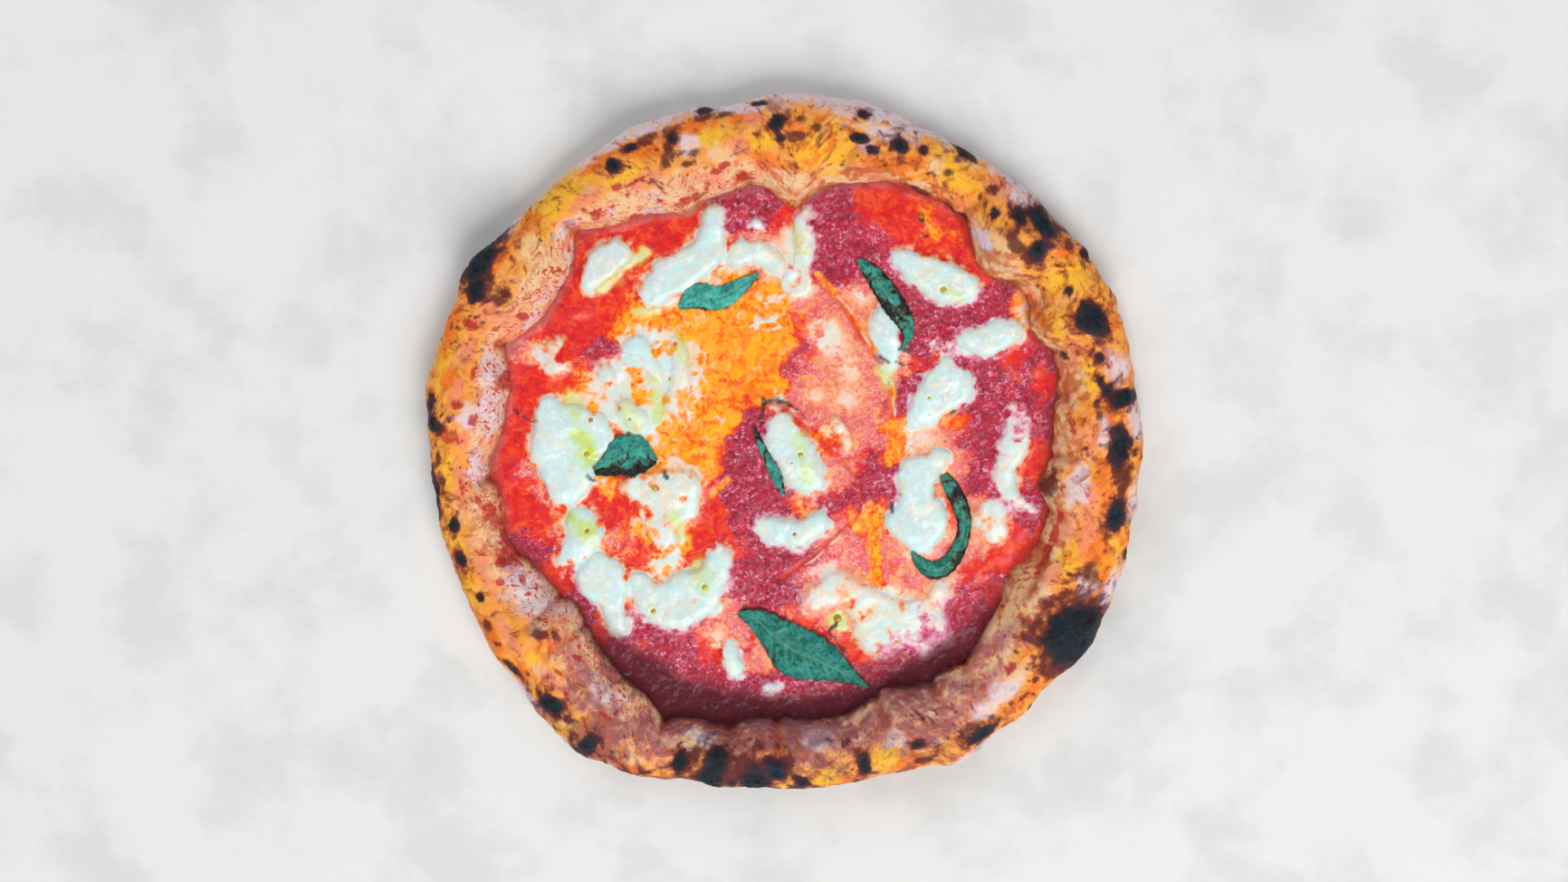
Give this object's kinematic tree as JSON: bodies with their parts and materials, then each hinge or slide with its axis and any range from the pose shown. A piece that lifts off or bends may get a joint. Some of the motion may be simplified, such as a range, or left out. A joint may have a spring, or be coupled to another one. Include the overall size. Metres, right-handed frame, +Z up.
{
  "type": "margherita pizza",
  "caption": "Whole round pizza with a puffed charred rim, tomato sauce, melted pieces of mozzarella and basil leaves, uncut and without a plate.",
  "frame": {"origin": "on the flat underside, below the middle of the crust's outline", "axes": "+Z up out of the toppings; +Y towards the top of the picture, +X towards its right"},
  "size_m": [0.3154, 0.3086, 0.0315],
  "materials": {
    "baked_dough": "matte golden crust with dark charred spots",
    "tomato_sauce": "wet and oily",
    "mozzarella": "soft sheen, cool white",
    "oiled_mozzarella": "soft sheen, cream where oil has run in",
    "basil_leaf": "oily leaf, darkened at the edges"
  },
  "bodies": {
    "root": {"crust": "baked_dough", "tomato_sauce": "tomato_sauce", "mozzarella_upper_left": "mozzarella", "mozzarella_finger": "mozzarella", "mozzarella_top_strip": "mozzarella", "mozzarella_bean": "mozzarella", "mozzarella_lavender": "mozzarella", "mozzarella_left_large": "mozzarella", "mozzarella_left_drip": "mozzarella", "mozzarella_left_low": "mozzarella", "mozzarella_crescent": "mozzarella", "mozzarella_triangle": "mozzarella", "mozzarella_bright_drop": "mozzarella", "mozzarella_middle_band": "mozzarella", "mozzarella_middle_leaf_shaped": "mozzarella", "mozzarella_under_fold": "mozzarella", "mozzarella_upper_right": "mozzarella", "mozzarella_right_high": "mozzarella", "mozzarella_right_middle": "mozzarella", "mozzarella_right_of_middle": "mozzarella", "mozzarella_arc": "oiled_mozzarella", "mozzarella_top_ring": "oiled_mozzarella", "mozzarella_left_ring": "oiled_mozzarella", "mozzarella_chain": "oiled_mozzarella", "mozzarella_beige": "oiled_mozzarella", "mozzarella_cream_middle": "oiled_mozzarella", "mozzarella_small_middle": "oiled_mozzarella", "mozzarella_right_hook": "oiled_mozzarella", "mozzarella_right_low": "oiled_mozzarella", "mozzarella_lace": "oiled_mozzarella", "basil_teal": "basil_leaf", "basil_folded": "basil_leaf", "basil_burnt": "basil_leaf", "basil_narrow": "basil_leaf", "basil_hook": "basil_leaf", "basil_large": "basil_leaf"}
  },
  "joints": []
}
